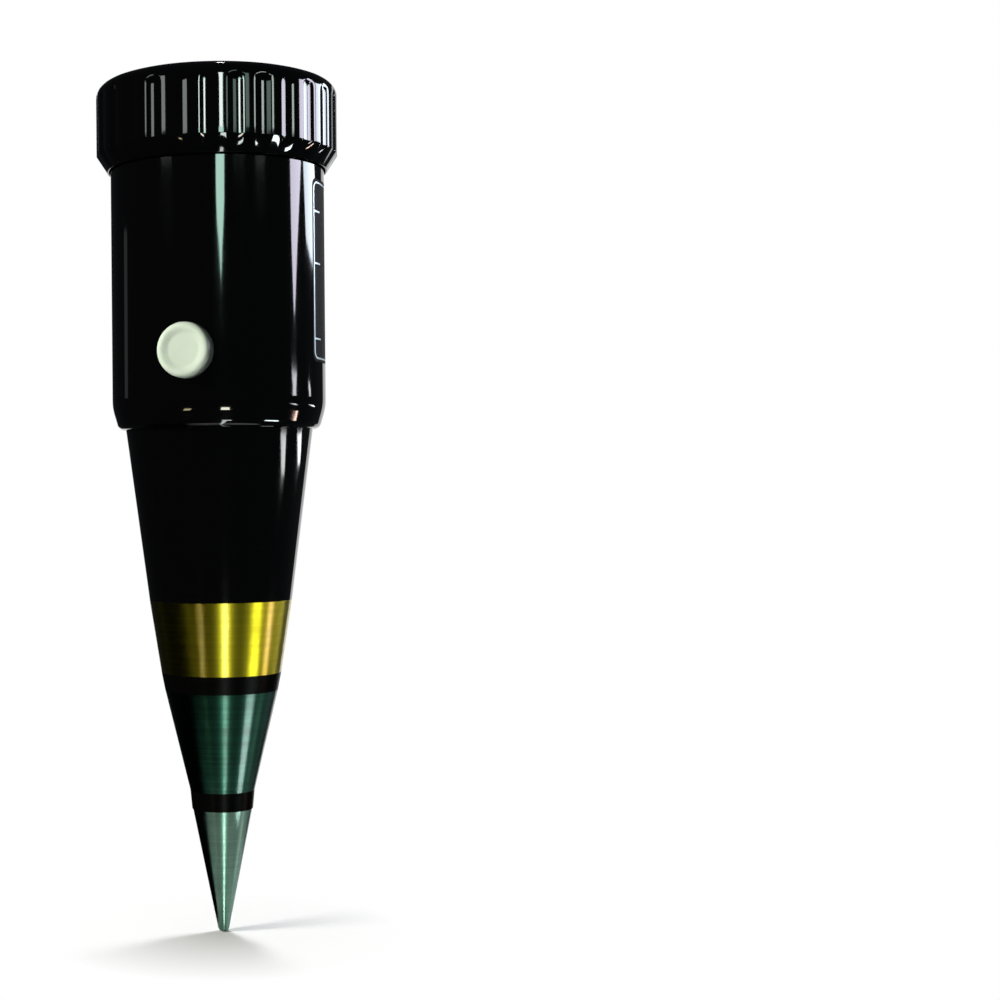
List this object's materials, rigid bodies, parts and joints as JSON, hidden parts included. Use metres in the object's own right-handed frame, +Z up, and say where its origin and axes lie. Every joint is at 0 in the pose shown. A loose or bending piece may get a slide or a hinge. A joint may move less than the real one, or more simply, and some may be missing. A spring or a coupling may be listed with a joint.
{
  "type": "soil moisture meter",
  "caption": "Cone-shaped soil moisture and acidity probe with ring electrodes, a push button and a moving-coil dial under a fluted screw-off bezel.",
  "frame": {"origin": "the tip of the probe, on the axis", "axes": "+Z up the axis from the tip to the dial; the push button faces -Y, so the dial's twelve o'clock points to +Y and +X is its three o'clock"},
  "size_m": [0.048, 0.048, 0.1677],
  "materials": {
    "black_abs": "gloss moulded",
    "matte_label": "matte film",
    "clear_window": "polished clear",
    "seal_rubber": "matte",
    "tip_metal": "turned",
    "mid_metal": "turned, darkened",
    "brass": "turned and polished",
    "insulator_black": "moulded",
    "steel": "bright",
    "tinned_brass": "tinned",
    "lead_red": "insulated wire",
    "lead_blue": "insulated wire",
    "lead_yellow": "insulated wire",
    "board_green": "laminate",
    "resistor_body": "lacquered",
    "trimmer_blue": "moulded",
    "cream_button": "satin moulded",
    "contact_brass": "stamped",
    "phenolic": "laminate",
    "frame_grey": "moulded",
    "yoke_iron": "zinc plated",
    "magnet": "ground",
    "bridge_brass": "milled",
    "hairspring_bronze": "rolled",
    "former_aluminium": "strip",
    "copper_winding": "enamelled copper",
    "pointer_crimson": "painted sheet",
    "dial_white": "printed dial",
    "rivet_black": "blackened",
    "dial_wall": "moulded",
    "cover_white": "ribbed moulding"
  },
  "bodies": {
    "root": {"body_shell": "black_abs", "cone_shell": "black_abs", "label_plate": "matte_label", "cone_seal": "seal_rubber", "electrode_seals": "seal_rubber", "tip_electrode": "tip_metal", "mid_electrode": "mid_metal", "brass_electrode": "brass", "lower_insulator": "insulator_black", "upper_insulator": "insulator_black", "rod_sleeve": "insulator_black", "tie_rod": "steel", "rod_washer": "steel", "rod_nut": "steel", "terminal_screws": "brass", "solder_tags": "tinned_brass", "electrode_leads": "lead_red", "switch_leads": "lead_blue", "meter_leads": "lead_yellow", "circuit_board": "board_green", "board_screws": "steel", "resistors": "resistor_body", "trimmer": "trimmer_blue", "button_spring": "steel", "switch_base": "phenolic", "switch_contacts": "contact_brass", "switch_screws": "steel", "meter_frame": "frame_grey", "meter_screws": "steel", "yoke_ring": "yoke_iron", "yoke_screws": "steel", "core_magnet": "magnet", "core_clamps": "contact_brass", "upper_bridge": "bridge_brass", "lower_bracket": "bridge_brass", "bridge_screws": "steel", "upper_jewel_screw": "bridge_brass", "lower_jewel_screw": "bridge_brass", "pointer_stops": "steel", "lower_hairspring": "hairspring_bronze", "dial_plate": "dial_white", "dial_rivets": "rivet_black", "dial_ring": "dial_wall", "dial_cover": "cover_white"},
    "cap": {"bezel_cap": "black_abs"},
    "window": {"lens": "clear_window", "lens_gasket": "seal_rubber"},
    "button": {"button_cap": "cream_button", "button_stem": "insulator_black", "contact_bar": "contact_brass"},
    "pointer": {"pointer": "pointer_crimson", "balance_weights": "bridge_brass", "pivot_staffs": "steel", "moving_coil": "copper_winding", "coil_former": "former_aluminium", "spring_collets": "bridge_brass"},
    "zero_adjuster": {"zero_arm": "bridge_brass", "upper_hairspring": "hairspring_bronze"}
  },
  "joints": [
    {"name": "cap_lift", "type": "slide", "parent": "root", "child": "window", "axis": [0, 0, 1], "range_m": [0, 0.0015]},
    {"name": "cap_turn", "type": "hinge", "parent": "window", "child": "cap", "pos_m": [0, 0, 0.16], "axis": [0, 0, 1], "range_deg": [0, 60]},
    {"name": "button_press", "type": "slide", "parent": "root", "child": "button", "axis": [0, 1, 0], "range_m": [0, 0.0015], "stiffness_N_per_m": 800, "springref_m": -0.001, "deforming": ["button_spring"]},
    {"name": "pointer_swing", "type": "hinge", "parent": "root", "child": "pointer", "pos_m": [0, -0.0121, 0.157], "axis": [0, 0, 1], "range_deg": [-8.8, 55.9], "stiffness_Nm_per_rad": 0.00002, "deforming": ["upper_hairspring", "lower_hairspring"]},
    {"name": "zero_adjust", "type": "hinge", "parent": "root", "child": "zero_adjuster", "pos_m": [0, -0.0121, 0.1595], "axis": [0, 0, 1], "range_deg": [-6, 6]}
  ],
  "couplings": [
    {"joint": "cap_turn", "follows": "cap_lift", "rad_per_m": 698.13}
  ]
}
